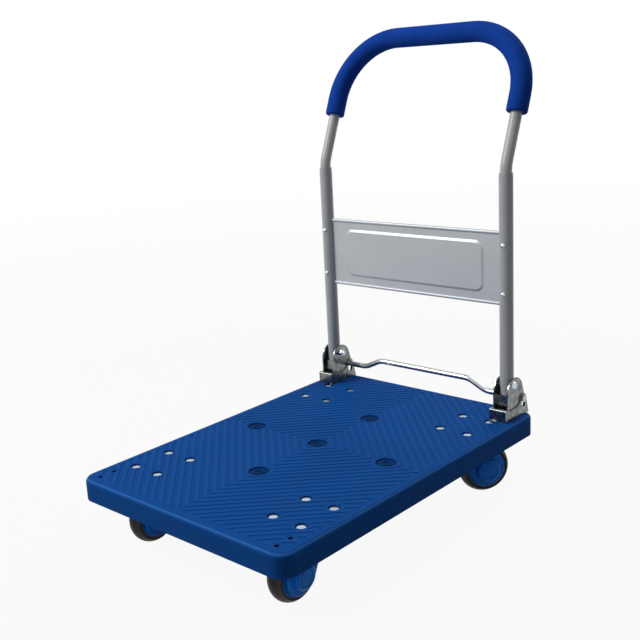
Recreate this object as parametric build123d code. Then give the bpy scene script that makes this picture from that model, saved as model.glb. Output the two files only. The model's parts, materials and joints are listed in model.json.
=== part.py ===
from build123d import *
import os
from math import acos, asin, atan2, cos, hypot, radians, sin, sqrt, tan

os.makedirs("parts", exist_ok=True)

# Folding platform cart: moulded deck, folding tube handle, foot release bar and four casters.
# Millimetres, +Z up, floor at Z = 0, handle at the +Y end. Left is -X and right is +X.
# The origin is on the floor, midway between the deck's front edge and the back of the grip.

# Deck moulding
deck_length = 740.0
deck_width = 500.0
deck_height = 41.0
deck_wall = 4.0
deck_corner = 28.0
deck_edge_radius = 9.0
pad_depth = 4.0
pad_margin = 4.0
stiffener_depth = 22.0
stiffener_thickness = 3.0
stiffener_pitch = 72.0

# Anti-slip ribs and dimples on top of the deck
tread_pitch = 15.0
tread_height = 0.3
tread_rim = 2.0
tread_margin = 16.0
tread_corner = 16.0
groove_width = 7.5
groove_depth = 0.3
groove_least = 30.0
keep_clear = 4.0
dimple_d = 38.0
dimple_depth = 2.0
dimple_spread = 160.0
dimple_ring_d = 20.0
dimple_ring_width = 3.0

# Caster plates, their bolts and where they sit
caster_height = 132.0
caster_inset_x = 77.0
caster_inset_y = 134.0
plate_thickness = 5.0
plate_corner = 8.0
plate_rim = 12.5
plate_pitch_y = 80.0
bolt_d = 8.0
bolt_hole_d = 9.0
bolt_head_d = 16.0
bolt_head_height = 2.4
bolt_head_round = 1.0
bolt_recess_d = 20.0
bolt_recess_depth = 4.4
nut_across_flats = 13.0
nut_height = 6.5
bolt_end = 1.0

# Wheels and forks
tyre_headroom = 11.0
wheel_width = 30.0
tyre_depth = 12.0
tyre_shoulder = 7.0
mould_line = 0.8
mould_line_inset = 3.0
trail = 36.0
rear_swing = 35.0
fork_gap = 2.0
cheek_thickness = 6.0
cheek_radius = 34.0
cheek_edge = 2.0
crown_thickness = 7.0
crown_radius = 32.0
race_depth = 6.0
race_d = 56.0
thrust_thickness = 2.7
thrust_d = 50.0
kingpin_d = 12.0
kingpin_head_d = 22.0
kingpin_head_height = 5.0
axle_d = 10.0
axle_head_flats = 16.0
axle_head_height = 5.0
bearing_d = 26.0
bearing_width = 8.0
core_hub_d = 36.0
core_web = 8.0
core_rim = 5.0
core_bore_gap = 1.0
cap_d = 46.0
cap_height = 10.0
cap_edge = 5.0
cap_cavity_d = 24.0
cap_ring_d = 30.0
cap_ring_width = 2.0
cap_ring_depth = 0.8

# Handle: lower legs, upper bow, foam grip and panel
handle_inset_x = 33.0
handle_inset_y = 54.0
leg_d = 26.5
leg_wall = 1.8
leg_bottom = 38.0
leg_top = 477.0
neck_length = 12.0
bow_d = 22.0
bow_wall = 1.5
bow_insert = 55.0
bend_radius = 60.0
bow_lean = 22.0
bow_rise = 264.77
bow_corner = 127.0
grip_d = 40.0
grip_start = 101.8
grip_edge = 4.0
panel_bottom = 224.0
panel_top = 368.0
panel_thickness = 1.5
panel_tab = 6.0
panel_bead_d = 7.0
panel_screw_inset = 25.0
field_width = 338.0
field_height = 102.0
field_corner = 18.0
field_slope = 5.0
field_rise = 2.5
screw_d = 5.0
screw_head_d = 9.0
screw_head_height = 3.0

# Hinge brackets and pivots, heights above the deck
pivot_height = 67.0
pivot_d = 8.0
pivot_head_d = 16.0
pivot_head_height = 5.0
pivot_nut_height = 8.0
pivot_tail = 5.0
bush_d = 12.0
ear_thickness = 2.5
ear_radius = 28.0
ear_offset = 4.0
ear_top = 82.0
ear_rear = 50.0
stop_height = 49.0
base_thickness = 2.5
base_fold = 2.0
lip_flange = 8.0
base_floor = 2.5
base_front = 35.0
base_rear = 50.0
base_lip = 24.5
base_waist = 21.0
waist_start = 9.0
waist_end = 6.0
waist_round = 12.0
lug_radius = 10.5
bracket_pitch = 31.0
bracket_head_d = 14.0
bracket_head_height = 4.0

# Foot release bar, heights above the deck
bar_d = 12.0
bar_height = 33.0
bar_travel = 12.0
bar_raise = 19.5
bar_middle = 224.0
bar_slope = 40.0
bar_bend = 45.0
bar_head_d = 14.0
bar_head_thickness = 2.0
sleeve_d = 16.0
tongue_thickness = 5.0
spring_d = 12.0
spring_wire = 1.2
spring_turns = 4.0

# Clearances, and how far a cutter runs past the face it cuts
running_fit = 0.06
seat_gap = 0.1
side_gap = 0.3
slot_gap = 0.4
lock_gap = 0.5
head_gap = 1.0
nut_clear = 0.5
overcut = 1.0

# Places that follow from the sizes
deck_top = caster_height + deck_wall + pad_depth
deck_bottom = deck_top - deck_height
pad_bottom = caster_height
lean = radians(bow_lean)
handle_x = deck_width / 2 - handle_inset_x
grip_back = deck_length / 2 - handle_inset_y + bow_rise * sin(lean) + grip_d / 2
deck_y = (deck_length / 2 - grip_back) / 2
handle_y = deck_y + deck_length / 2 - handle_inset_y
caster_x = deck_width / 2 - caster_inset_x
front_caster_y = deck_y - deck_length / 2 + caster_inset_y
rear_caster_y = deck_y + deck_length / 2 - caster_inset_y
pivot_z = deck_top + pivot_height
bend_z = deck_top + leg_top + bend_radius * tan(lean / 2)
bar_y = handle_y + bracket_pitch
bar_z = deck_top + bar_height
fork_inner = wheel_width / 2 + fork_gap
fork_outer = fork_inner + cheek_thickness
plate_pitch_x = 2 * (fork_outer + nut_across_flats / 2 + nut_clear)
plate_width = plate_pitch_x + 2 * plate_rim
plate_length = plate_pitch_y + 2 * plate_rim
ear_inner = leg_d / 2 + side_gap
ear_outer = ear_inner + ear_thickness
base_outer = ear_outer + base_thickness
tongue_reach = hypot(bar_y - handle_y, pivot_z - bar_z) - sleeve_d / 2 - lock_gap
panel_low = deck_top + panel_bottom
panel_high = deck_top + panel_top
panel_screw_heights = [panel_low + panel_screw_inset, panel_high - panel_screw_inset]
race_foot = caster_height - plate_thickness - race_depth
thrust_foot = race_foot - thrust_thickness
crown_top = thrust_foot - side_gap
crown_foot = crown_top - crown_thickness
wheel_d = crown_foot - tyre_headroom
axle_z = wheel_d / 2
sides = {"left": -1, "right": 1}


def save(node, shape):
    """Write one node; a list becomes one node of separate solids."""
    if isinstance(shape, list):
        shape = Compound(children=[solid for piece in shape for solid in piece.solids()])
    export_step(shape, f"parts/{node}.step")


def side_plate(outline, x, thickness):
    """Plate whose outline is drawn in Y and Z, from x towards +X."""
    return extrude(Plane.YZ.offset(x) * outline, thickness)


def rod_x(radius, x0, x1, y, z):
    """Round rod along X."""
    return Pos((x0 + x1) / 2, y, z) * Rot(0, 90, 0) * Cylinder(radius, abs(x1 - x0))


def rod_y(radius, x, y0, y1, z):
    """Round rod along Y."""
    return Pos(x, (y0 + y1) / 2, z) * Rot(90, 0, 0) * Cylinder(radius, abs(y1 - y0))


def rod_z(radius, x, y, z0, z1):
    """Round rod along Z."""
    return Pos(x, y, (z0 + z1) / 2) * Cylinder(radius, abs(z1 - z0))


def block(x0, x1, y0, y1, z0, z1):
    """Box between two corners."""
    centre = Pos((x0 + x1) / 2, (y0 + y1) / 2, (z0 + z1) / 2)
    return centre * Box(abs(x1 - x0), abs(y1 - y0), abs(z1 - z0))


def dome(diameter, height):
    """Round head that stands on Z = 0."""
    ball = (diameter ** 2 / 4 + height ** 2) / (2 * height)
    half_angle = asin(diameter / 2 / ball) / 2
    middle = (ball * sin(half_angle), height - ball + ball * cos(half_angle))
    foot = Line((0, 0), (diameter / 2, 0))
    crown = ThreePointArc((diameter / 2, 0), middle, (0, height))
    return revolve(Plane.XZ * make_face([foot, crown, Line((0, height), (0, 0))]), Axis.Z)


def hex_nut(flats, height, bore_d):
    """Nut that stands on Z = 0, with two of its flats across X."""
    prism = extrude(RegularPolygon(flats / 2, 6, major_radius=False, rotation=30), height)
    return prism - rod_z(bore_d / 2, 0, 0, -height, 2 * height)


def ring(outer_d, inner_d, z0, z1):
    """Flat ring about Z."""
    return rod_z(outer_d / 2, 0, 0, z0, z1) - rod_z(inner_d / 2, 0, 0, z0 - overcut, z1 + overcut)


def touch_point(point, centre, radius, turn):
    """Where a line from the point meets the circle; turn picks one of the two."""
    reach = hypot(point[0] - centre[0], point[1] - centre[1])
    angle = atan2(point[1] - centre[1], point[0] - centre[0]) + turn * acos(radius / reach)
    return (centre[0] + radius * cos(angle), centre[1] + radius * sin(angle))


def drawn_to_round(first, second, centre, radius):
    """Outline with a straight edge and two flanks that run onto a circle; first to second is clockwise."""
    flank_a = touch_point(first, centre, radius, 1)
    flank_b = touch_point(second, centre, radius, -1)
    flanks = make_face(Polyline(first, second, flank_b, centre, flank_a, close=True))
    return flanks + Pos(*centre) * Circle(radius)


def plate_bolt_points(x, y):
    """The four bolt centres of a caster plate."""
    half_x = plate_pitch_x / 2
    half_y = plate_pitch_y / 2
    return [(x + i * half_x, y + j * half_y) for i in (-1, 1) for j in (-1, 1)]


caster_centres = [(i * caster_x, y) for i in (-1, 1) for y in (front_caster_y, rear_caster_y)]
caster_bolt_points = [p for centre in caster_centres for p in plate_bolt_points(*centre)]
bracket_bolt_points = [(i * handle_x, y) for i in (-1, 1) for y in (handle_y, bar_y)]
spare_hole_points = [(x, 2 * deck_y - y) for x, y in bracket_bolt_points]
dimple_steps = ((0, 0), (1, 0), (-1, 0), (0, 1), (0, -1))
dimple_points = [(i * dimple_spread, deck_y + j * dimple_spread) for i, j in dimple_steps]
bracket_mid_y = handle_y + (base_rear - base_front) / 2
bracket_pad_width = 2 * base_outer + 2 * pad_margin
bracket_pad_length = base_front + base_rear + 2 * pad_margin


def clear_place(diameter, rim):
    """Eight-sided place without ribs round a hole, with sides along and across the ribs."""
    return RegularPolygon(diameter / 2 + keep_clear + rim, 8, major_radius=False, rotation=22.5)


def tread_field(rim):
    """Ribbed area of the deck's top, drawn in by the rim, with clear places for holes and brackets."""
    width = deck_width - 2 * (tread_margin + rim)
    length = deck_length - 2 * (tread_margin + rim)
    clear = [Pos(x, y) * clear_place(bolt_recess_d, rim) for x, y in caster_bolt_points]
    clear += [Pos(x, y) * clear_place(dimple_d, rim) for x, y in dimple_points]
    clear += [Pos(x, y) * clear_place(bolt_hole_d, rim) for x, y in spare_hole_points]
    foot = Rectangle(bracket_pad_width + 2 * rim, bracket_pad_length + 2 * rim)
    clear += [Pos(i * handle_x, bracket_mid_y) * foot for i in (-1, 1)]
    return Pos(0, deck_y) * RectangleRounded(width, length, tread_corner) - clear


def make_grooves():
    """Grooves between the ribs, in concentric diamonds about the deck's middle."""
    diamonds = []
    reach = 2 * groove_width
    while reach < (deck_width + deck_length) / sqrt(2):
        inset = reach - 2 * groove_width
        frame = Rectangle(reach, reach, rotation=45)
        if inset > 0:
            frame -= Rectangle(inset, inset, rotation=45)
        diamonds.append(Pos(0, deck_y) * frame)
        reach += 2 * tread_pitch
    grooves = (Sketch() + diamonds) & tread_field(tread_rim)
    faces = [face for face in grooves.faces() if face.area > groove_least]
    floor = Pos(0, 0, deck_top - groove_depth)
    return [extrude(floor * face, 2 * groove_depth + tread_height) for face in faces]


def stiffener_steps(plate_edge):
    """Steps of the stiffeners each way from the middle that fit between the caster pads."""
    most = int((plate_edge - pad_margin - stiffener_thickness) / stiffener_pitch)
    return range(-most, most + 1)


def make_deck():
    """Moulded pan, open below, with stiffeners and thick pads where steel is bolted on."""
    inner_w = deck_width - 2 * deck_wall
    inner_l = deck_length - 2 * deck_wall
    pan = extrude(RectangleRounded(deck_width, deck_length, deck_corner), deck_height)
    pan = fillet(pan.edges().group_by(Axis.Z)[-1], deck_edge_radius)
    pan -= extrude(RectangleRounded(inner_w, inner_l, deck_corner - deck_wall), deck_height - deck_wall)
    under = deck_top - deck_wall
    rib_foot = under - stiffener_depth
    half = stiffener_thickness / 2
    added = []
    for i in stiffener_steps(caster_x - plate_width / 2):
        x = i * stiffener_pitch
        added.append(block(x - half, x + half, deck_y - inner_l / 2, deck_y + inner_l / 2, rib_foot, under))
    for i in stiffener_steps(rear_caster_y - deck_y - plate_length / 2):
        y = deck_y + i * stiffener_pitch
        added.append(block(-inner_w / 2, inner_w / 2, y - half, y + half, rib_foot, under))
    pads = [(x, y, plate_width + 2 * pad_margin, plate_length + 2 * pad_margin) for x, y in caster_centres]
    for y in (bracket_mid_y, 2 * deck_y - bracket_mid_y):
        pads += [(i * handle_x, y, bracket_pad_width, bracket_pad_length) for i in (-1, 1)]
    mid_w = deck_width - deck_wall
    mid_l = deck_length - deck_wall
    pad_faces = Sketch() + [Pos(x, y) * Rectangle(width, length) for x, y, width, length in pads]
    pad_faces &= Pos(0, deck_y) * RectangleRounded(mid_w, mid_l, deck_corner - deck_wall / 2)
    added.append(extrude(Pos(0, 0, pad_bottom) * pad_faces, pad_depth))
    added.append(extrude(Pos(0, 0, deck_top) * tread_field(0), tread_height))
    deck = Pos(0, deck_y, deck_bottom) * pan + added
    above = deck_top + 2 * tread_height
    dish = rod_z(dimple_d / 2, 0, 0, deck_top - dimple_depth, above)
    dish -= ring(dimple_ring_d, dimple_ring_d - 2 * dimple_ring_width,
                 deck_top - dimple_depth, deck_top - dimple_depth / 2)
    cuts = [Pos(x, y) * dish for x, y in dimple_points]
    for x, y in caster_bolt_points:
        cuts.append(rod_z(bolt_recess_d / 2, x, y, deck_top - bolt_recess_depth, above))
    for x, y in caster_bolt_points + bracket_bolt_points + spare_hole_points:
        cuts.append(rod_z(bolt_hole_d / 2, x, y, pad_bottom - overcut, above))
    return deck - cuts - make_grooves()


def make_caster_bolt():
    """Button-headed bolt from the deck's recess through the pad and the caster plate."""
    seat = deck_top - bolt_recess_depth
    foot = caster_height - plate_thickness - nut_height - bolt_end
    head = rod_z(bolt_head_d / 2, 0, 0, seat, seat + bolt_head_height)
    head = fillet(head.edges().group_by(Axis.Z)[-1], bolt_head_round)
    return head + rod_z(bolt_d / 2, 0, 0, foot, seat)


def make_bracket_bolt():
    """Flat-headed bolt from the bracket's floor through the deck."""
    seat = deck_top + base_floor
    foot = pad_bottom - nut_height - bolt_end
    head = rod_z(bracket_head_d / 2, 0, 0, seat, seat + bracket_head_height)
    return head + rod_z(bolt_d / 2, 0, 0, foot, seat)


def make_swivel_plate():
    """Steel top plate against the deck's pad, with the pressed upper race below it."""
    plate_foot = caster_height - plate_thickness
    past = caster_height + overcut
    plate = extrude(RectangleRounded(plate_width, plate_length, plate_corner), plate_thickness)
    plate = Pos(0, 0, plate_foot) * plate + rod_z(race_d / 2, 0, 0, race_foot, plate_foot)
    for x, y in plate_bolt_points(0, 0):
        plate -= rod_z(bolt_hole_d / 2, x, y, plate_foot - overcut, past)
    return plate - rod_z(kingpin_d / 2 + seat_gap, 0, 0, race_foot - overcut, past)


def make_kingpin():
    """Pin that hangs the fork from the plate, with its head under the fork's crown."""
    neck = crown_foot - side_gap
    head = rod_z(kingpin_head_d / 2, 0, 0, neck - kingpin_head_height, neck)
    return head + rod_z(kingpin_d / 2, 0, 0, neck, caster_height)


def make_swivel_fork():
    """Moulded fork, swivel axis on Z, with the wheel ahead of it towards -Y."""
    first = (-crown_radius, crown_top)
    second = (crown_radius, crown_top)
    outline = drawn_to_round(first, second, (-trail, axle_z), cheek_radius)
    fork = rod_z(crown_radius, 0, 0, crown_foot, crown_top)
    fork += block(-fork_outer, fork_outer, -crown_radius, crown_radius, crown_foot, crown_top)
    cheek = side_plate(outline, fork_inner, cheek_thickness)
    cheek = fillet(cheek.edges().group_by(Axis.X)[-1], cheek_edge)
    fork += [cheek, mirror(cheek, Plane.YZ)]
    fork -= rod_z(kingpin_d / 2 + running_fit, 0, 0, crown_foot - overcut, crown_top + overcut)
    return fork - rod_x(axle_d / 2 + seat_gap, -2 * fork_outer, 2 * fork_outer, -trail, axle_z)


def make_axle():
    """Axle bolt along X, centred on the wheel, its head on the +X cheek."""
    tail = -fork_outer - axle_head_height
    head = extrude(RegularPolygon(axle_head_flats / 2, 6, major_radius=False), axle_head_height)
    return rod_x(axle_d / 2, tail, fork_outer, 0, 0) + Pos(fork_outer, 0, 0) * Rot(0, 90, 0) * head


def make_axle_nut():
    """Nut on the -X cheek."""
    nut = hex_nut(axle_head_flats, axle_head_height, axle_d + 2 * seat_gap)
    return Pos(-fork_outer, 0, 0) * Rot(0, -90, 0) * nut


def make_hub_caps():
    """Pair of snap-on caps over the axle's head and nut."""
    cap = fillet(rod_z(cap_d / 2, 0, 0, 0, cap_height).edges().group_by(Axis.Z)[-1], cap_edge)
    cap -= rod_z(cap_cavity_d / 2, 0, 0, -overcut, axle_head_height + 2 * side_gap)
    ring_foot = cap_height - cap_ring_depth
    cap -= ring(cap_ring_d, cap_ring_d - 2 * cap_ring_width, ring_foot, cap_height + overcut)
    return [Pos(i * fork_outer, 0, 0) * Rot(0, i * 90, 0) * cap for i in (-1, 1)]


def make_tyre():
    """Rubber tyre with a crowned tread, axis on X."""
    outer = wheel_d / 2
    inner = outer - tyre_depth
    half = wheel_width / 2
    shoulder = outer - tyre_shoulder
    bore = Line((-half, inner), (half, inner))
    low = inner + mould_line_inset
    notch = [(half, inner), (half, low - mould_line), (half - mould_line, low), (half, low + mould_line),
             (half, shoulder)]
    wall = Polyline(*notch)
    tread = ThreePointArc((half, shoulder), (0, outer), (-half, shoulder))
    back = Polyline(*[(-x, r) for x, r in reversed(notch)])
    return revolve(Plane.XZ * make_face([bore, *wall.edges(), tread, *back.edges()]), Axis.X)


def make_core():
    """Nylon wheel centre: rim, web and hub bored for two bearings."""
    half = wheel_width / 2
    rim_top = wheel_d / 2 - tyre_depth - seat_gap
    past = half + overcut
    core = rod_x(rim_top, -half, half, 0, 0) - rod_x(rim_top - core_rim, -past, past, 0, 0)
    core += rod_x(rim_top - core_rim / 2, -core_web / 2, core_web / 2, 0, 0)
    core += rod_x(core_hub_d / 2, -half, half, 0, 0)
    core -= rod_x(axle_d / 2 + core_bore_gap, -past, past, 0, 0)
    for i in (-1, 1):
        core -= rod_x(bearing_d / 2 + seat_gap / 2, i * (half - bearing_width), i * past, 0, 0)
    return core


def make_bearings():
    """Two ball bearings, one at each face of the hub."""
    half = wheel_width / 2
    pair = []
    for i in (-1, 1):
        body = rod_x(bearing_d / 2, i * (half - bearing_width), i * half, 0, 0)
        pair.append(body - rod_x(axle_d / 2 + running_fit, -wheel_width, wheel_width, 0, 0))
    return pair


def make_leg():
    """Lower leg tube at the right: necked at the top, slotted for the panel, bored for the pivot bush."""
    outer = leg_d / 2
    inner = outer - leg_wall
    neck_inner = bow_d / 2 + seat_gap
    neck_outer = neck_inner + leg_wall
    z0 = deck_top + leg_bottom
    z1 = deck_top + leg_top
    wall = Polyline((outer, z0), (outer, z1 - neck_length), (neck_outer, z1), (neck_inner, z1),
                    (neck_inner, z1 - neck_length), (inner, z1 - 2 * neck_length), (inner, z0), close=True)
    leg = Pos(handle_x, handle_y, 0) * revolve(Plane.XZ * make_face(wall), Axis.Z)
    leg -= rod_x(bush_d / 2 + seat_gap / 2, handle_x - leg_d, handle_x + leg_d, handle_y, pivot_z)
    half = panel_thickness / 2 + slot_gap / 2
    leg -= block(handle_x - leg_d, handle_x, handle_y - half, handle_y + half,
                 panel_low - slot_gap, panel_high + slot_gap)
    for z in panel_screw_heights:
        leg -= rod_y(screw_d / 2 + seat_gap, handle_x, handle_y - leg_d, handle_y, z)
    return leg


def make_bush():
    """Sleeve through the right leg that turns on the pivot bolt."""
    half = leg_d / 2
    sleeve = rod_x(bush_d / 2, handle_x - half, handle_x + half, handle_y, pivot_z)
    return sleeve - rod_x(pivot_d / 2 + running_fit, handle_x - leg_d, handle_x + leg_d, handle_y, pivot_z)


def make_tongue():
    """Lock plate in the foot of the right leg, rounded about the pivot."""
    half_width = sqrt((leg_d / 2 - leg_wall) ** 2 - tongue_thickness ** 2 / 4) - seat_gap
    top = pivot_z - bush_d / 2 - seat_gap
    foot = pivot_z - tongue_reach
    blank = Pos(handle_y, (top + foot) / 2) * Rectangle(2 * half_width, top - foot)
    outline = blank & Pos(handle_y, pivot_z) * Circle(tongue_reach)
    return side_plate(outline, handle_x - tongue_thickness / 2, tongue_thickness)


def bow_point(across, along):
    """Point of the leaning plane: across from the middle, along from the bend."""
    return (across, handle_y + along * sin(lean), bend_z + along * cos(lean))


def bow_path(first_edges, last_edges, start):
    """Upper run of the bow from one side to the other, with what leads into and out of it."""
    slope = (0, sin(lean), cos(lean))
    shoulder = bow_rise - bow_corner
    near = handle_x - bow_corner
    up = Line(bow_point(-handle_x, start), bow_point(-handle_x, shoulder))
    over = TangentArc(bow_point(-handle_x, shoulder), bow_point(-near, bow_rise), tangent=slope)
    across = Line(bow_point(-near, bow_rise), bow_point(near, bow_rise))
    back = TangentArc(bow_point(near, bow_rise), bow_point(handle_x, shoulder), tangent=(1, 0, 0))
    down = Line(bow_point(handle_x, shoulder), bow_point(handle_x, start))
    return Wire(first_edges + [up, over, across, back, down] + last_edges)


def make_bow():
    """Upper tube: out of one leg, back along the lean, across and down into the other."""
    run = bend_radius * tan(lean / 2)
    foot = deck_top + leg_top - bow_insert
    slope = (0, sin(lean), cos(lean))
    low = (-handle_x, handle_y, bend_z - run)
    rise = Line((-handle_x, handle_y, foot), low)
    bend = TangentArc(low, bow_point(-handle_x, run), tangent=(0, 0, 1))
    far = (handle_x, handle_y, bend_z - run)
    unbend = TangentArc(bow_point(handle_x, run), far, tangent=tuple(-c for c in slope))
    path = bow_path([rise, bend], [unbend, Line(far, (handle_x, handle_y, foot))], run)
    end = Plane(origin=(-handle_x, handle_y, foot), z_dir=(0, 0, 1))
    tube = sweep(end * Circle(bow_d / 2), path)
    return tube - sweep(end * Circle(bow_d / 2 - bow_wall), path)


def make_grip():
    """Foam sleeve over the upper run of the bow."""
    path = bow_path([], [], grip_start)
    end = Plane(origin=bow_point(-handle_x, grip_start), z_dir=(0, sin(lean), cos(lean)))
    foam = sweep(end * Circle(grip_d / 2), path)
    foam = fillet(foam.faces().filter_by(GeomType.PLANE).edges(), grip_edge)
    return foam - sweep(end * Circle(bow_d / 2 + seat_gap), path)


def raised_field(y):
    """Shallow pyramid of the panel's field with its foot at y, rising towards the front."""
    centre = Pos(0, (panel_low + panel_high) / 2)
    top_width = field_width - 2 * field_slope
    top_height = field_height - 2 * field_slope
    foot = Plane.XZ.offset(-y) * centre * RectangleRounded(field_width, field_height, field_corner)
    head = centre * RectangleRounded(top_width, top_height, field_corner - field_slope)
    return loft(Sketch() + [foot, Plane.XZ.offset(field_rise - y) * head])


def make_panel():
    """Pressed sheet between the legs: beaded edges and a raised field, its ends inside the leg slots."""
    half = panel_thickness / 2
    front = handle_y - half
    reach = handle_x + panel_tab
    panel = block(-reach, reach, front, handle_y + half, panel_low, panel_high)
    span = handle_x - leg_d / 2 - side_gap
    for z in (panel_low + panel_bead_d / 2, panel_high - panel_bead_d / 2):
        panel += rod_x(panel_bead_d / 2, -span, span, handle_y, z)
    panel += raised_field(front)
    panel -= raised_field(front + panel_thickness)
    for i in (-1, 1):
        for z in panel_screw_heights:
            panel -= rod_y(screw_d / 2 + seat_gap, i * handle_x, handle_y - leg_d, handle_y + leg_d, z)
    return panel


def make_panel_screws():
    """Round-headed screws through the front of the legs and the panel's ends."""
    face = handle_y - leg_d / 2
    screws = []
    for i in (-1, 1):
        for z in panel_screw_heights:
            shank = rod_y(screw_d / 2, i * handle_x, face, handle_y + leg_d / 2 - leg_wall - side_gap, z)
            head = Pos(i * handle_x, face, z) * Rot(90, 0, 0) * dome(screw_head_d, screw_head_height)
            screws.append(head + shank)
    return screws


def slot_cut():
    """Upright slots of the right bracket that guide the release bar."""
    width = bar_d + 2 * slot_gap
    outline = Pos(bar_y, bar_z - bar_travel / 2) * Rot(0, 0, 90) * SlotCenterToCenter(bar_travel, width)
    return side_plate(outline, handle_x - 2 * base_outer, 4 * base_outer)


def make_base():
    """Right base channel: floor, flanged front lip and two cheeks that rise to a lug round the slot."""
    y0 = handle_y - base_front
    y1 = handle_y + base_rear
    x0 = handle_x - base_outer
    x1 = handle_x + base_outer
    lip_z = deck_top + base_lip
    waist_z = deck_top + base_waist
    ledge_y = y0 + lip_flange
    waist = FilletPolyline((y0, lip_z), (ledge_y, lip_z), (ledge_y + waist_start, waist_z),
                           (handle_y + waist_end, waist_z), (bar_y, bar_z), radius=waist_round)
    sides_and_foot = Polyline((bar_y, bar_z), (bar_y, deck_top), (y0, deck_top), (y0, lip_z))
    lug = drawn_to_round((y1, deck_top), (bar_y - lug_radius, deck_top), (bar_y, bar_z), lug_radius)
    outline = make_face([*waist.edges(), *sides_and_foot.edges()]) + lug
    base = block(x0, x1, y0, y1, deck_top, deck_top + base_floor)
    for x in (x0, x1 - base_thickness):
        base += side_plate(outline, x, base_thickness)
    base += block(x0, x1, y0, y0 + base_thickness, deck_top, lip_z)
    base += block(x0, x1, y0, ledge_y, lip_z - base_thickness, lip_z)
    folds = base.edges().filter_by(Axis.Z).group_by(Axis.Y)[0]
    folds += base.edges().filter_by(Axis.X).group_by(Axis.Y)[0].sort_by(Axis.Z)[-1:]
    base = fillet(folds, base_fold)
    for y in (handle_y, bar_y):
        base -= rod_z(bolt_hole_d / 2, handle_x, y, deck_top - overcut, deck_top + base_floor + overcut)
    return base - slot_cut()


def make_ears():
    """Right pair of ears, joined by the web that stops the upright leg."""
    floor = deck_top + base_floor
    top_y = handle_y + ear_offset
    centre = (top_y, deck_top + ear_top - ear_radius)
    front = top_y - ear_radius
    flanks = drawn_to_round((handle_y + ear_rear, floor), (front, floor), centre, ear_radius)
    x0 = handle_x - ear_outer
    x1 = handle_x + ear_outer
    ears = side_plate(flanks, x0, ear_thickness) + side_plate(flanks, x1 - ear_thickness, ear_thickness)
    stop_y = handle_y - leg_d / 2 - side_gap
    ears += block(x0, x1, stop_y - ear_thickness, stop_y, floor, deck_top + stop_height)
    ears -= rod_x(pivot_d / 2 + seat_gap, x0 - overcut, x1 + overcut, handle_y, pivot_z)
    return ears - slot_cut()


def make_pivot_bolt():
    """Right pivot bolt: round head outside, shank through both ears, tail past the nut."""
    seat = handle_x + ear_outer
    tail = handle_x - ear_outer - pivot_nut_height - pivot_tail
    head = Pos(seat, handle_y, pivot_z) * Rot(0, 90, 0) * dome(pivot_head_d, pivot_head_height)
    return head + rod_x(pivot_d / 2, tail, seat, handle_y, pivot_z)


def make_pivot_nut():
    """Lock nut on the inner ear of the right bracket."""
    nut = hex_nut(nut_across_flats, pivot_nut_height, pivot_d + 2 * seat_gap)
    return Pos(handle_x - ear_outer, handle_y, pivot_z) * Rot(0, -90, 0) * nut


def make_bar():
    """Foot bar: raised in the middle, low at the ends, with a head outside each bracket."""
    end = handle_x + base_outer + head_gap
    mid = bar_middle / 2
    high = bar_z + bar_raise
    half = [(0, high), (mid, high), (mid + bar_slope, bar_z), (end, bar_z)]
    points = [(-x, bar_y, z) for x, z in reversed(half[1:])] + [(x, bar_y, z) for x, z in half[1:]]
    path = FilletPolyline(*points, radius=bar_bend)
    bar = sweep(Plane(origin=points[0], z_dir=(1, 0, 0)) * Circle(bar_d / 2), path)
    for i in (-1, 1):
        bar += rod_x(bar_head_d / 2, i * end, i * (end + bar_head_thickness), bar_y, bar_z)
    return bar


def make_sleeve():
    """Lock sleeve on the right end of the bar, between the ears."""
    half = ear_inner - head_gap
    sleeve = rod_x(sleeve_d / 2, handle_x - half, handle_x + half, bar_y, bar_z)
    return sleeve - rod_x(bar_d / 2 + seat_gap / 2, handle_x - leg_d, handle_x + leg_d, bar_y, bar_z)


def make_spring():
    """Coil between the bracket bolt's head and the right lock sleeve."""
    low = deck_top + base_floor + bracket_head_height + spring_wire / 2 + seat_gap
    high = bar_z - sleeve_d / 2 - spring_wire / 2 - seat_gap
    coil = Helix((high - low) / spring_turns, high - low, spring_d / 2 - spring_wire / 2)
    wire = sweep(Plane(origin=coil @ 0, z_dir=coil % 0) * Circle(spring_wire / 2), coil, is_frenet=True)
    return Pos(handle_x, bar_y, low) * wire


def save_pair(name, right):
    """Write the right piece and its mirror image as two nodes."""
    save(f"{name}_left", mirror(right, Plane.YZ))
    save(f"{name}_right", right)


# Deck and what bolts through it
save("deck", make_deck())
under_plate = caster_height - plate_thickness - nut_height
under_pad = pad_bottom - nut_height
deck_nut = hex_nut(nut_across_flats, nut_height, bolt_d + 2 * seat_gap)
save("caster_bolts", [Pos(x, y) * make_caster_bolt() for x, y in caster_bolt_points])
save("caster_nuts", [Pos(x, y, under_plate) * deck_nut for x, y in caster_bolt_points])
save("bracket_bolts", [Pos(x, y) * make_bracket_bolt() for x, y in bracket_bolt_points])
save("bracket_nuts", [Pos(x, y, under_pad) * deck_nut for x, y in bracket_bolt_points])

# Hinge brackets and pivots
save_pair("hinge_base", make_base())
save_pair("hinge_ears", make_ears())
save_pair("pivot_bolt", make_pivot_bolt())
save("pivot_nuts", [make_pivot_nut(), mirror(make_pivot_nut(), Plane.YZ)])

# Folding handle
save_pair("leg", make_leg())
save_pair("leg_bush", make_bush())
save_pair("lock_tongue", make_tongue())
save("handle_bow", make_bow())
save("foam_grip", make_grip())
save("panel", make_panel())
save("panel_screws", make_panel_screws())

# Foot release
save("release_bar", make_bar())
save_pair("lock_sleeve", make_sleeve())
save_pair("release_spring", make_spring())

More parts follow.
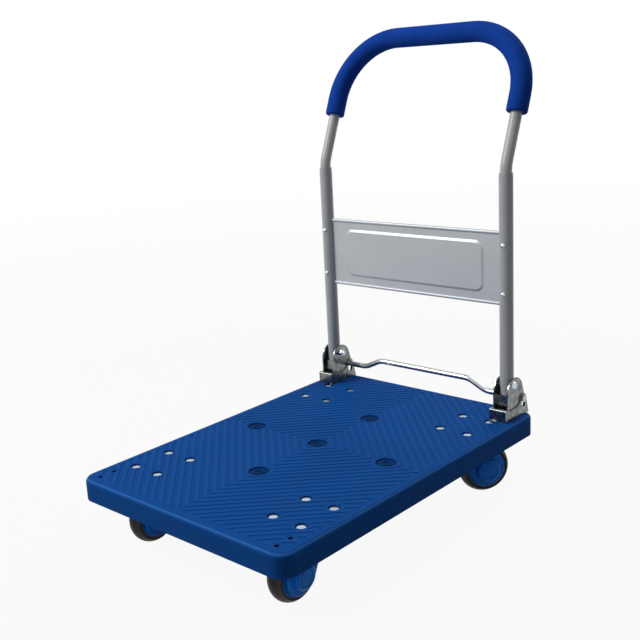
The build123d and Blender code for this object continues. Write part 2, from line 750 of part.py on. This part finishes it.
# Casters: all swivel; the front pair trails forwards and the rear pair stands turned outwards
stands = {}
for side, i in sides.items():
    stands[f"front_{side}"] = Pos(i * caster_x, front_caster_y, 0)
    stands[f"rear_{side}"] = Pos(i * caster_x, rear_caster_y, 0) * Rot(0, 0, 180 - i * rear_swing)
plate_places = [Pos(x, y) for x, y in caster_centres]
thrust_ring = ring(thrust_d, kingpin_d + 2 * seat_gap, thrust_foot, race_foot)
save("swivel_plates", [place * make_swivel_plate() for place in plate_places])
save("thrust_rings", [place * thrust_ring for place in plate_places])
save("kingpins", [place * make_kingpin() for place in plate_places])
for name, stand in stands.items():
    hub = stand * Pos(0, -trail, axle_z)
    save(f"swivel_fork_{name}", stand * make_swivel_fork())
    save(f"axle_{name}", hub * make_axle())
    save(f"axle_nut_{name}", hub * make_axle_nut())
    save(f"hub_caps_{name}", [hub * cap for cap in make_hub_caps()])
    save(f"tyre_{name}", hub * make_tyre())
    save(f"wheel_core_{name}", hub * make_core())
    save(f"wheel_bearings_{name}", [hub * bearing for bearing in make_bearings()])
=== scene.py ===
import bpy
import json
from math import cos, pi, radians, sin
from mathutils import Matrix, Vector


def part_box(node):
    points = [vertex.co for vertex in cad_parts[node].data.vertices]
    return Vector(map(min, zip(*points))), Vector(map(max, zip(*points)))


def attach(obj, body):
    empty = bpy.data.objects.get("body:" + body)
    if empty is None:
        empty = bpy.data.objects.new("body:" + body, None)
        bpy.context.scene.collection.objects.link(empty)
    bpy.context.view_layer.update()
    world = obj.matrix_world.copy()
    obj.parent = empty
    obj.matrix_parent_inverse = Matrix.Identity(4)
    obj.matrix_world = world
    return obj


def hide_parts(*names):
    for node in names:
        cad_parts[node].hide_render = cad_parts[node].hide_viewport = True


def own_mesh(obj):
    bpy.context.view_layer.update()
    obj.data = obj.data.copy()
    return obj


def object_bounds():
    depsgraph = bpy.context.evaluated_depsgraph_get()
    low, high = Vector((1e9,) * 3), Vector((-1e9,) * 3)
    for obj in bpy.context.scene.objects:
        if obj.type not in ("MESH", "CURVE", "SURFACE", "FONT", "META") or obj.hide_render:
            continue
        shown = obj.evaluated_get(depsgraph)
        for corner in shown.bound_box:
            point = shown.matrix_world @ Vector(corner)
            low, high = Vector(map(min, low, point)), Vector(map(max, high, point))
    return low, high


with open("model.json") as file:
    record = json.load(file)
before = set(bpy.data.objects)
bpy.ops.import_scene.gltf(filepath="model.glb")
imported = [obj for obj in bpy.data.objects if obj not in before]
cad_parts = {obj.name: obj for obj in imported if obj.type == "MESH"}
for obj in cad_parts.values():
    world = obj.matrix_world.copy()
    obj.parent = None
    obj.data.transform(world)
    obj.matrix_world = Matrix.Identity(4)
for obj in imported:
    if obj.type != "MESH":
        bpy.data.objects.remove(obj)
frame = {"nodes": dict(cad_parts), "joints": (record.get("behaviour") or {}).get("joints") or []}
cad_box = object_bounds()

# Deck. One injection moulding in blue polypropylene, open below, with shallow grooves in
# diamonds on top. The mould's spark-eroded faces leave a fine dull grain on every outer side.
deck_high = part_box("deck")[1]
rib_height = 0.0003
groove_depth = 0.0003
# Depth from which the painted shade and dust in the deck's hollows are darkest.
shade_and_dust_depth = 0.0012
deck_top = deck_high.z - rib_height
shade_span = 0.003
deck_patch = 0.090
deck_grain = 0.0024
deck_grain_depth = 0.0003
deck_blues = ("#0D4386", "#124D94")
# Colour of the painted highlight along the deck's rounded edges.
painted_highlight_blue = "#3F78C0"
deck_roughness = (0.52, 0.7)


def linear(hex_colour):
    """An sRGB hex colour as linear red, green, blue and alpha."""
    steps = [int(hex_colour[i:i + 2], 16) / 255 for i in (1, 3, 5)]
    curve = [s / 12.92 if s <= 0.04045 else ((s + 0.055) / 1.055) ** 2.4 for s in steps]
    return (*curve, 1.0)


def add_node(finish, kind, settings, inputs, stops=()):
    """Add a node: its settings, each input's value or the output it is linked to, and a ramp's stops."""
    node = finish.node_tree.nodes.new(kind)
    for name, value in settings.items():
        setattr(node, name, value)
    for name, value in inputs.items():
        if isinstance(value, bpy.types.NodeSocket):
            finish.node_tree.links.new(value, node.inputs[name])
        else:
            node.inputs[name].default_value = value
    if stops:
        ramp = node.color_ramp.elements
        ramp.remove(ramp[1])
        ramp[0].position = stops[0][0]
        ramp[0].color = linear(stops[0][1])
        for position, colour in stops[1:]:
            ramp.new(position).color = linear(colour)
    return node


def new_finish(name, values):
    """A material with these values on its shader."""
    finish = bpy.data.materials.new(name)
    finish.use_nodes = True
    shader = finish.node_tree.nodes["Principled BSDF"]
    for socket, value in values.items():
        shader.inputs[socket].default_value = value
    return finish


def feed(finish, links):
    """Link outputs to the named sockets of a finish's shader."""
    shader = finish.node_tree.nodes["Principled BSDF"]
    for socket, output in links.items():
        finish.node_tree.links.new(output, shader.inputs[socket])


def dress(finish, *nodes):
    """Put a finish on CAD nodes."""
    for name in nodes:
        slots = frame["nodes"][name].data.materials
        slots.clear()
        slots.append(finish)


# Polypropylene: satin, a little cloudy in colour, darker in the grooves, dimples and recesses
# with painted shade and dust, darker on the walls with painted shade, and a painted highlight
# along the rounded edges. The grain is drawn at 2.4 mm, about three times as coarse as the real
# one, so that it shows.
polypropylene = new_finish("moulded_polypropylene", {"IOR": 1.2, "Specular IOR Level": 0.12})
spots = add_node(polypropylene, "ShaderNodeTexCoord", {}, {})
place = spots.outputs["Object"]
cloud = add_node(polypropylene, "ShaderNodeTexNoise", {},
                 {"Vector": place, "Scale": 1 / deck_patch, "Detail": 4.0, "Roughness": 0.6})
blue = add_node(polypropylene, "ShaderNodeMix", {"data_type": "RGBA"},
                {"Factor": cloud.outputs["Fac"], "A": linear(deck_blues[0]), "B": linear(deck_blues[1])})

# Painted shade and dust by depth below the deck's top: darkest from 1.2 mm down, which only the
# dimples and recesses reach, lighter on the grooves' floors, and none on the ribs.
shade_and_dust_stops = ((0.5 - shade_and_dust_depth / (2 * shade_span), "#7C9CA0"),
              (0.5 - groove_depth / (2 * shade_span), "#E4ECED"),
              (0.5 + rib_height / (2 * shade_span), "#FFFFFF"))
height = add_node(polypropylene, "ShaderNodeSeparateXYZ", {}, {"Vector": place}).outputs["Z"]
level = add_node(polypropylene, "ShaderNodeMapRange", {},
                 {"Value": height, "From Min": deck_top - shade_span, "From Max": deck_top + shade_span})
shade = add_node(polypropylene, "ShaderNodeValToRGB", {}, {"Fac": level.outputs["Result"]}, shade_and_dust_stops)

# How far a face looks up, from 0 on a wall to 1 on the flat, tells flats, walls and edges apart.
flat_from = 0.95
flat_full = 0.99
# Painted shade: the deck's walls are painted a little darker than its flats.
wall_shade_stops = ((0.1, "#E8E8E8"), (0.6, "#FFFFFF"))
# Painted highlight: a paler blue painted on the rounded edges, strongest where faces look 0.72 up.
edge_highlight_stops = ((0.5, "#000000"), (0.72, "#B8B8B8"), (0.9, "#000000"))
upward = add_node(polypropylene, "ShaderNodeSeparateXYZ", {},
                  {"Vector": spots.outputs["Normal"]}).outputs["Z"]
flat = add_node(polypropylene, "ShaderNodeMapRange", {},
                {"Value": upward, "From Min": flat_from, "From Max": flat_full})
tone = add_node(polypropylene, "ShaderNodeMix", {"data_type": "RGBA", "blend_type": "MULTIPLY"},
                {"Factor": flat.outputs["Result"], "A": blue.outputs["Result"],
                 "B": shade.outputs["Color"]})
walls = add_node(polypropylene, "ShaderNodeValToRGB", {}, {"Fac": upward}, wall_shade_stops)
body = add_node(polypropylene, "ShaderNodeMix", {"data_type": "RGBA", "blend_type": "MULTIPLY"},
                {"Factor": 1.0, "A": tone.outputs["Result"], "B": walls.outputs["Color"]})
# The painted highlight is mixed over the blue along the rounded edges.
edges = add_node(polypropylene, "ShaderNodeValToRGB", {}, {"Fac": upward}, edge_highlight_stops)
highlit_edges = add_node(polypropylene, "ShaderNodeMix", {"data_type": "RGBA"},
                {"Factor": edges.outputs["Color"], "A": body.outputs["Result"], "B": linear(painted_highlight_blue)})
dull = add_node(polypropylene, "ShaderNodeMapRange", {},
                {"Value": cloud.outputs["Fac"], "To Min": deck_roughness[0], "To Max": deck_roughness[1]})
grain = add_node(polypropylene, "ShaderNodeTexNoise", {},
                 {"Vector": place, "Scale": 1 / deck_grain, "Detail": 2.0})
bump = add_node(polypropylene, "ShaderNodeBump", {},
                {"Height": grain.outputs["Fac"], "Strength": 0.25, "Distance": deck_grain_depth})
feed(polypropylene, {"Base Color": highlit_edges.outputs["Result"], "Roughness": dull.outputs["Result"],
                     "Normal": bump.outputs["Normal"]})
dress(polypropylene, "deck")

# Bolts and nuts. Turned and cold-headed steel, zinc plated and passivated to a bright blue-white,
# holding casters and brackets to the deck, the brackets' pivots, the panel and the wheels' axles.
sides = ("left", "right")
corners = [f"{end}_{side}" for end in ("front", "rear") for side in sides]
zinc_fleck = 0.004
bolt_greys = ("#A6B2BE", "#CDD9E4")
bolt_roughness = (0.2, 0.36)


def clouded_finish(name, values, patch, colours, roughness, detail=3.0):
    """A material that drifts in patches between two colours and two roughnesses."""
    finish = new_finish(name, values)
    place = add_node(finish, "ShaderNodeTexCoord", {}, {}).outputs["Object"]
    cloud = add_node(finish, "ShaderNodeTexNoise", {},
                     {"Vector": place, "Scale": 1 / patch, "Detail": detail})
    colour = add_node(finish, "ShaderNodeMix", {"data_type": "RGBA"},
                      {"Factor": cloud.outputs["Fac"], "A": linear(colours[0]), "B": linear(colours[1])})
    dull = add_node(finish, "ShaderNodeMapRange", {},
                    {"Value": cloud.outputs["Fac"], "To Min": roughness[0], "To Max": roughness[1]})
    feed(finish, {"Base Color": colour.outputs["Result"], "Roughness": dull.outputs["Result"]})
    return finish


bright_zinc = clouded_finish("bright_zinc", {"Metallic": 1.0}, zinc_fleck, bolt_greys, bolt_roughness)
dress(bright_zinc, "caster_bolts", "caster_nuts", "bracket_bolts", "bracket_nuts", "pivot_nuts",
      "panel_screws", "kingpins", *[f"pivot_bolt_{side}" for side in sides],
      *[f"axle_{corner}" for corner in corners], *[f"axle_nut_{corner}" for corner in corners])

# Hinge brackets. Two pressings of 2.5 mm steel nested in each other: a base channel bolted to the
# deck, and ears that carry the pivot. Their barrel zinc plate clouds from a cool dark grey to a
# warm pale one, and the caster plates and the lock's pieces come from the same barrel.
zinc_cloud = 0.012
barrel_stops = ((0.3, "#4F565A"), (0.72, "#989A95"))
barrel_roughness = (0.14, 0.34)

pressed_zinc = new_finish("barrel_zinc_plate", {"Metallic": 1.0})
place = add_node(pressed_zinc, "ShaderNodeTexCoord", {}, {}).outputs["Object"]
cloud = add_node(pressed_zinc, "ShaderNodeTexNoise", {},
                 {"Vector": place, "Scale": 1 / zinc_cloud, "Detail": 5.0, "Roughness": 0.65})
tint = add_node(pressed_zinc, "ShaderNodeValToRGB", {}, {"Fac": cloud.outputs["Fac"]}, barrel_stops)
dull = add_node(pressed_zinc, "ShaderNodeMapRange", {},
                {"Value": cloud.outputs["Fac"], "To Min": barrel_roughness[0],
                 "To Max": barrel_roughness[1]})
feed(pressed_zinc, {"Base Color": tint.outputs["Color"], "Roughness": dull.outputs["Result"]})
pressings = ("hinge_base", "hinge_ears", "lock_sleeve", "lock_tongue")
dress(pressed_zinc, "swivel_plates", *[f"{pressing}_{side}" for pressing in pressings for side in sides])

# Foot release. A bent round bar between the brackets that a foot pushes down. Drawn steel,
# bright zinc over a polished surface, so it mirrors the room.
bar_greys = ("#9EA0A2", "#C4C5C4")
bar_roughness = (0.1, 0.22)

polished_bar = clouded_finish("polished_zinc_bar", {"Metallic": 1.0}, zinc_cloud, bar_greys, bar_roughness)
dress(polished_bar, "release_bar")

# Release springs. A coil of spring wire stands under each end of the foot bar and lifts it again.
# Bright zinc plated.
spring_wire = 0.0012
spring_turns = 4
spring_steps = 28
wire_sides = 12
smooth_angle = radians(40)


def find_joint(name):
    """The frame's joint of this name."""
    return next(joint for joint in frame["joints"] if joint["name"] == name)


def apply_all(piece):
    """Apply a piece's modifiers in order."""
    for modifier in list(piece.modifiers):
        bpy.ops.object.modifier_apply(modifier=modifier.name)


for side in sides:
    foot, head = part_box(f"release_spring_{side}")
    middle = (foot + head) / 2
    coil_radius = (head.x - foot.x - spring_wire) / 2
    bpy.ops.object.select_all(action="DESELECT")
    bpy.ops.mesh.primitive_circle_add(vertices=wire_sides, radius=spring_wire / 2,
                                      rotation=(pi / 2, 0, 0), location=(coil_radius, 0, 0))
    coil = bpy.context.object
    coil.name = f"spring_coil_{side}"
    bpy.ops.object.transform_apply(location=True, rotation=True, scale=True)
    wind = coil.modifiers.new("wind", "SCREW")
    wind.angle = 2 * pi * spring_turns
    wind.screw_offset = head.z - foot.z - spring_wire
    wind.steps = spring_steps * spring_turns
    wind.render_steps = spring_steps * spring_turns
    apply_all(coil)
    bpy.ops.object.mode_set(mode="EDIT")
    bpy.ops.mesh.select_all(action="SELECT")
    bpy.ops.mesh.fill_holes(sides=0)
    bpy.ops.mesh.select_all(action="SELECT")
    bpy.ops.mesh.normals_make_consistent(inside=False)
    bpy.ops.object.mode_set(mode="OBJECT")
    coil.location = (middle.x, middle.y, foot.z + spring_wire / 2)
    bpy.ops.object.transform_apply(location=True, rotation=True, scale=True)
    bpy.ops.object.shade_smooth_by_angle(angle=smooth_angle)
    coil.data.materials.append(bright_zinc)
    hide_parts(f"release_spring_{side}")
    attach(coil, "root")
    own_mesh(coil)

# Handle tubes. Welded steel tube, the thinner bow pushed into the legs, all sprayed in a
# silver-grey powder coat that flows out to a faint orange peel.
coat_patch = 0.06
coat_roughness = (0.28, 0.38)
peel = 0.0025
peel_depth = 0.0002
# Copies of one coat: the legs' is a little darker as painted shade, the bow's a little paler as painted
# light on its upward lean.
coats = {"painted_shade_powder_coat": (("#9A9CA1", "#ACAEB2"), [f"leg_{side}" for side in sides]),
         "painted_light_powder_coat": (("#A0A1A3", "#B1B2B3"), ["handle_bow"])}

for name, (greys, tubes) in coats.items():
    coat = clouded_finish(name, {"IOR": 1.4, "Specular IOR Level": 0.4}, coat_patch, greys, coat_roughness)
    place = add_node(coat, "ShaderNodeTexCoord", {}, {}).outputs["Object"]
    ripple = add_node(coat, "ShaderNodeTexNoise", {},
                      {"Vector": place, "Scale": 1 / peel, "Detail": 1.0})
    bump = add_node(coat, "ShaderNodeBump", {},
                    {"Height": ripple.outputs["Fac"], "Strength": 0.12, "Distance": peel_depth})
    feed(coat, {"Normal": bump.outputs["Normal"]})
    dress(coat, *tubes)

# Panel. Pressed steel sheet with rolled edges and a raised field, slid into slots of the legs
# and held by screws. Sprayed in a paler silver with metal flake, which is drawn at 1.8 mm, far
# coarser than it is, so that it shows.
flake = 0.0018
panel_silvers = ("#B0B5B9", "#BFC3C6")
flake_roughness = (0.36, 0.5)

flake_silver = new_finish("flake_silver_paint", {"Metallic": 0.25, "IOR": 1.4})
place = add_node(flake_silver, "ShaderNodeTexCoord", {}, {}).outputs["Object"]
patch = add_node(flake_silver, "ShaderNodeTexNoise", {},
                 {"Vector": place, "Scale": 1 / coat_patch, "Detail": 3.0})
spark = add_node(flake_silver, "ShaderNodeTexVoronoi", {}, {"Vector": place, "Scale": 1 / flake})
pale = add_node(flake_silver, "ShaderNodeMix", {"data_type": "RGBA"},
                {"Factor": patch.outputs["Fac"], "A": linear(panel_silvers[0]),
                 "B": linear(panel_silvers[1])})
dull = add_node(flake_silver, "ShaderNodeMapRange", {},
                {"Value": spark.outputs["Distance"], "To Min": flake_roughness[0],
                 "To Max": flake_roughness[1]})
feed(flake_silver, {"Base Color": pale.outputs["Result"], "Roughness": dull.outputs["Result"]})
dress(flake_silver, "panel")

# Foam grip. A sleeve of blue closed-cell foam pushed over the bow, 40 mm thick, with a slightly
# uneven skin and both ends rounded over.
grip_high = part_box("foam_grip")[1]
grip_radius = 0.020
grip_bore = 0.0112
grip_lean = radians(22)
grip_corner = 0.127
grip_straight = 0.03597
grip_end_round = 0.004
grip_end_steps = 4
grip_end_angle = radians(50)
grip_ring = 48
grip_corner_steps = 20
grip_run_steps = 18
grip_straight_steps = 4
weld_gap = 0.0001


def move_out(shift, steps):
    """Extrude the selected ring by a shift, in equal steps."""
    for _ in range(steps):
        bpy.ops.mesh.extrude_region_move(TRANSFORM_OT_translate={"value": shift / steps})


along = Vector((0, sin(grip_lean), cos(grip_lean)))
across = Vector((1, 0, 0))
facing = along.cross(across)
grip_half = grip_high.x - grip_radius
run_half = grip_half - grip_corner
top = Vector((0, grip_high.y - grip_radius, grip_high.z - grip_radius))
start = top - across * grip_half - along * (grip_corner + grip_straight)
bpy.ops.object.select_all(action="DESELECT")
bpy.ops.mesh.primitive_circle_add(vertices=grip_ring, radius=grip_radius, location=start,
                                  rotation=(-grip_lean, 0, 0))
grip = bpy.context.object
grip.name = "grip_sleeve"
bpy.ops.object.transform_apply(location=True, rotation=True, scale=True)
bpy.ops.object.mode_set(mode="EDIT")
bpy.ops.mesh.select_all(action="SELECT")
move_out(along * grip_straight, grip_straight_steps)
near = top - across * run_half - along * grip_corner
bpy.ops.mesh.spin(steps=grip_corner_steps, angle=-pi / 2, center=near, axis=facing)
move_out(across * 2 * run_half, grip_run_steps)
far = top + across * run_half - along * grip_corner
bpy.ops.mesh.spin(steps=grip_corner_steps, angle=-pi / 2, center=far, axis=facing)
move_out(-along * grip_straight, grip_straight_steps)
bpy.ops.mesh.select_all(action="SELECT")
bpy.ops.mesh.remove_doubles(threshold=weld_gap)
bpy.ops.mesh.normals_make_consistent(inside=False)
bpy.ops.object.mode_set(mode="OBJECT")
wall = grip.modifiers.new("wall", "SOLIDIFY")
wall.thickness = grip_radius - grip_bore
wall.offset = -1
ends = grip.modifiers.new("ends", "BEVEL")
ends.width = grip_end_round
ends.segments = grip_end_steps
ends.limit_method = "ANGLE"
ends.angle_limit = grip_end_angle
apply_all(grip)
bpy.ops.object.shade_smooth_by_angle(angle=smooth_angle)

# Closed-cell foam: dull, with a short soft sheen. Its skin waves a little over the tube, and the
# cells are drawn at 1.6 mm, twice their real size, so that they show.
foam_cell = 0.0016
foam_cell_depth = 0.0004
foam_wave = 0.035
foam_wave_depth = 0.002
foam_blues = ("#092C78", "#1848A8")

foam = new_finish("closed_cell_foam", {"IOR": 1.2, "Roughness": 0.85, "Specular IOR Level": 0.2})
place = add_node(foam, "ShaderNodeTexCoord", {}, {}).outputs["Object"]
cells = add_node(foam, "ShaderNodeTexVoronoi", {}, {"Vector": place, "Scale": 1 / foam_cell})
wave = add_node(foam, "ShaderNodeTexNoise", {},
                {"Vector": place, "Scale": 1 / foam_wave, "Detail": 6.0, "Roughness": 0.75})
blue = add_node(foam, "ShaderNodeMix", {"data_type": "RGBA"},
                {"Factor": wave.outputs["Fac"], "A": linear(foam_blues[0]), "B": linear(foam_blues[1])})
soft = add_node(foam, "ShaderNodeBump", {},
                {"Height": wave.outputs["Fac"], "Strength": 0.35, "Distance": foam_wave_depth})
skin = add_node(foam, "ShaderNodeBump", {},
                {"Height": cells.outputs["Distance"], "Strength": 0.3, "Distance": foam_cell_depth,
                 "Normal": soft.outputs["Normal"]})
feed(foam, {"Base Color": blue.outputs["Result"], "Normal": skin.outputs["Normal"]})
grip.data.materials.append(foam)
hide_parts("foam_grip")
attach(grip, "handle")

# Caster forks, hub caps and wheel centres. Glass-filled nylon moulded in blue, smooth from a
# polished mould, with faint flow clouds in the colour.
nylon_flow = 0.02
nylon_blues = ("#1472DC", "#1C88F2")
nylon_roughness = (0.22, 0.34)

nylon = clouded_finish("moulded_nylon", {"IOR": 1.35, "Specular IOR Level": 0.14}, nylon_flow,
                       nylon_blues, nylon_roughness)
mouldings = ("swivel_fork", "hub_caps", "wheel_core")
dress(nylon, *[f"{moulding}_{corner}" for moulding in mouldings for corner in corners])

# Tyres. Thermoplastic rubber moulded onto the wheel centres, near black at the seat, with a painted
# highlight as a pale grey band on the rounded shoulders, and clouded at random by dust. The
# rubber's grit is drawn at 3 mm, coarser than it is, so that it shows.
tyre_low, tyre_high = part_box("tyre_front_left")
core_low, core_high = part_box("wheel_core_front_left")
tyre_tread = (tyre_high.z - tyre_low.z) / 2
tyre_seat = (core_high.z - core_low.z) / 2
rubber_grit = 0.003
rubber_grit_depth = 0.0003
rubber_patch = 0.02
rubber_roughness = (0.34, 0.56)
dust_share = 0.6
# From the seat to the tread: the pale band on the shoulders is a painted highlight.
shoulder_highlight_stops = ((0.0, "#0B0B0D"), (0.25, "#151416"), (0.62, "#5A5450"), (0.85, "#3A3634"), (1.0, "#262325"))

for corner in corners:
    axle = find_joint(f"wheel_{corner}")
    rubber = new_finish(f"thermoplastic_rubber_{corner}", {"IOR": 1.35, "Specular IOR Level": 0.3})
    place = add_node(rubber, "ShaderNodeTexCoord", {}, {}).outputs["Object"]
    offset = add_node(rubber, "ShaderNodeVectorMath", {"operation": "SUBTRACT"},
                      {0: place, 1: axle["pos_m"]})
    spoke = add_node(rubber, "ShaderNodeVectorMath", {"operation": "CROSS_PRODUCT"},
                     {0: offset.outputs["Vector"], 1: axle["axis"]})
    radius = add_node(rubber, "ShaderNodeVectorMath", {"operation": "LENGTH"}, {0: spoke.outputs["Vector"]})
    depth = add_node(rubber, "ShaderNodeMapRange", {},
                     {"Value": radius.outputs["Value"], "From Min": tyre_seat, "From Max": tyre_tread})
    rings = add_node(rubber, "ShaderNodeValToRGB", {}, {"Fac": depth.outputs["Result"]}, shoulder_highlight_stops)
    dust = add_node(rubber, "ShaderNodeTexNoise", {},
                    {"Vector": place, "Scale": 1 / rubber_patch, "Detail": 6.0, "Roughness": 0.7})
    dark = add_node(rubber, "ShaderNodeMix", {"data_type": "RGBA", "blend_type": "MULTIPLY"},
                    {"Factor": dust_share, "A": rings.outputs["Color"], "B": dust.outputs["Fac"]})
    dull = add_node(rubber, "ShaderNodeMapRange", {},
                    {"Value": dust.outputs["Fac"], "To Min": rubber_roughness[0],
                     "To Max": rubber_roughness[1]})
    grit = add_node(rubber, "ShaderNodeTexNoise", {},
                    {"Vector": place, "Scale": 1 / rubber_grit, "Detail": 2.0})
    bump = add_node(rubber, "ShaderNodeBump", {},
                    {"Height": grit.outputs["Fac"], "Strength": 0.2, "Distance": rubber_grit_depth})
    feed(rubber, {"Base Color": dark.outputs["Result"], "Roughness": dull.outputs["Result"],
                  "Normal": bump.outputs["Normal"]})
    dress(rubber, f"tyre_{corner}")

# Bearings, bushes and thrust rings. Rings of ground bearing steel in the wheels' hubs, the feet of
# the legs and the swivel heads. A film of oil clouds their grey, and little of them shows.
bearing_greys = ("#8F8F8D", "#B5B5B2")
bearing_roughness = (0.25, 0.4)

bearing_steel = clouded_finish("ground_bearing_steel", {"Metallic": 1.0}, zinc_fleck, bearing_greys,
                               bearing_roughness, detail=2.0)
dress(bearing_steel, "thrust_rings", *[f"leg_bush_{side}" for side in sides],
      *[f"wheel_bearings_{corner}" for corner in corners])

# Studio. A pale floor that keeps the cart's shadow, a white room, and three soft lamps: the
# strongest in front at the left, one behind the handle and one overhead.
floor_half = 30.0
floor_cuts = 3
floor_white = 0.93
floor_fade = (1.2, 5.0)
room_light = 0.16


def white_to_camera(finish, lit, share):
    """Mix a lit shader with plain white for what the camera sees directly or in a mirror."""
    path = add_node(finish, "ShaderNodeLightPath", {}, {})
    mirror = add_node(finish, "ShaderNodeMath", {"operation": "MAXIMUM"},
                      {0: path.outputs["Is Glossy Ray"], 1: path.outputs["Is Transmission Ray"]})
    seen = add_node(finish, "ShaderNodeMath", {"operation": "MAXIMUM"},
                    {0: path.outputs["Is Camera Ray"], 1: mirror.outputs["Value"]})
    part = add_node(finish, "ShaderNodeMath", {"operation": "MULTIPLY"},
                    {0: seen.outputs["Value"], 1: share})
    white = add_node(finish, "ShaderNodeEmission", {}, {"Color": (1, 1, 1, 1), "Strength": 1.0})
    return add_node(finish, "ShaderNodeMixShader", {},
                    {0: part.outputs["Value"], 1: lit, 2: white.outputs["Emission"]})


bpy.ops.object.select_all(action="DESELECT")
bpy.ops.mesh.primitive_plane_add(size=2 * floor_half, location=(0, 0, cad_box[0].z))
floor = bpy.context.object
floor.name = "studio_floor"
bpy.ops.object.mode_set(mode="EDIT")
bpy.ops.mesh.subdivide(number_cuts=floor_cuts)
bpy.ops.object.mode_set(mode="OBJECT")
paper = new_finish("studio_paper", {"Base Color": linear("#9C9C9A"), "Roughness": 0.9})
place = add_node(paper, "ShaderNodeTexCoord", {}, {}).outputs["Object"]
reach = add_node(paper, "ShaderNodeVectorMath", {"operation": "LENGTH"}, {0: place}).outputs["Value"]
share = add_node(paper, "ShaderNodeMapRange", {},
                 {"Value": reach, "From Min": floor_fade[0], "From Max": floor_fade[1],
                  "To Min": floor_white})
lit = paper.node_tree.nodes["Principled BSDF"]
mixed = white_to_camera(paper, lit.outputs["BSDF"], share.outputs["Result"])
output = paper.node_tree.nodes["Material Output"]
paper.node_tree.links.new(mixed.outputs["Shader"], output.inputs["Surface"])
floor.data.materials.append(paper)

room = bpy.data.worlds.new("studio_room")
room.use_nodes = True
lit = room.node_tree.nodes["Background"]
lit.inputs["Color"].default_value = (1, 1, 1, 1)
lit.inputs["Strength"].default_value = room_light
mixed = white_to_camera(room, lit.outputs["Background"], 1.0)
output = room.node_tree.nodes["World Output"]
room.node_tree.links.new(mixed.outputs["Shader"], output.inputs["Surface"])
bpy.context.scene.world = room

# Each lamp's place, its width and its power in watts.
lamps = {"key_lamp": ((-2.2, -2.3, 2.9), 1.6, 145.0),
         "back_lamp": ((0.3, 3.0, 2.4), 2.0, 40.0),
         "top_lamp": ((0.2, 0.6, 3.2), 2.4, 20.0)}
lamp_aim = Vector((0, 0, 0.35))
for name, (lamp_place, width, power) in lamps.items():
    bpy.ops.object.light_add(type="AREA", location=lamp_place)
    lamp = bpy.context.object
    lamp.name = name
    lamp.data.size = width
    lamp.data.energy = power
    lamp.rotation_euler = (lamp_aim - Vector(lamp_place)).to_track_quat("-Z", "Y").to_euler()

# Camera. Solved from the deck's corners and the handle in the photograph; the photograph was
# cut out of a larger frame, which the shift stands for.
image_size = 640
photo_focal = 986.48
photo_centre = (255.11, 312.98)
camera_turn = radians(45.09)
camera_rise = radians(14.07)
camera_roll = radians(-3.90)
camera_place = Vector((1.16593, -1.33779, 0.83914))
sensor = 36.0

back = Vector((sin(camera_turn) * cos(camera_rise), -cos(camera_turn) * cos(camera_rise),
               sin(camera_rise)))
level_right = Vector((cos(camera_turn), sin(camera_turn), 0))
level_up = back.cross(level_right)
right = level_right * cos(camera_roll) + level_up * sin(camera_roll)
up = level_up * cos(camera_roll) - level_right * sin(camera_roll)
bpy.ops.object.camera_add()
camera = bpy.context.object
camera.matrix_world = Matrix.Translation(camera_place) @ Matrix((right, up, back)).transposed().to_4x4()
camera.data.sensor_width = sensor
camera.data.lens = photo_focal * sensor / image_size
camera.data.shift_x = (image_size / 2 - photo_centre[0]) / image_size
camera.data.shift_y = (photo_centre[1] - image_size / 2) / image_size
bpy.context.scene.camera = camera
bpy.context.scene.view_settings.view_transform = "Standard"
